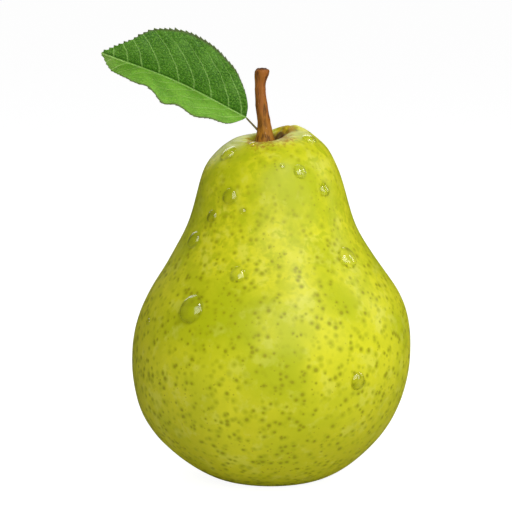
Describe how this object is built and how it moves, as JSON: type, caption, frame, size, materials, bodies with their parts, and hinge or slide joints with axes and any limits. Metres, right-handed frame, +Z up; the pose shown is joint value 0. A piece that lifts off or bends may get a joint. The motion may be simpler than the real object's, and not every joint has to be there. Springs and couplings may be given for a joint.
{
  "type": "pear",
  "caption": "Fresh pear with a broad belly, a tapering neck, a woody stem and one folded leaf, standing upright on the flat ring around its calyx.",
  "frame": {"origin": "on the surface that the pear stands on, under the middle of its bounding box; the fruit's own axis stands 3.4 mm from it towards +X, because the leaf reaches out towards -X", "axes": "+Z up the fruit from its base to its stem; the leaf reaches towards -X and its folded half opens towards -Y"},
  "size_m": [0.0831, 0.0758, 0.1218],
  "materials": {
    "fruit_skin": "satin",
    "stem_bark": "matte",
    "leaf_green": "satin",
    "dried_calyx": "matte"
  },
  "bodies": {
    "root": {"fruit": "fruit_skin", "stem": "stem_bark", "leaf": "leaf_green", "calyx": "dried_calyx"}
  },
  "joints": []
}
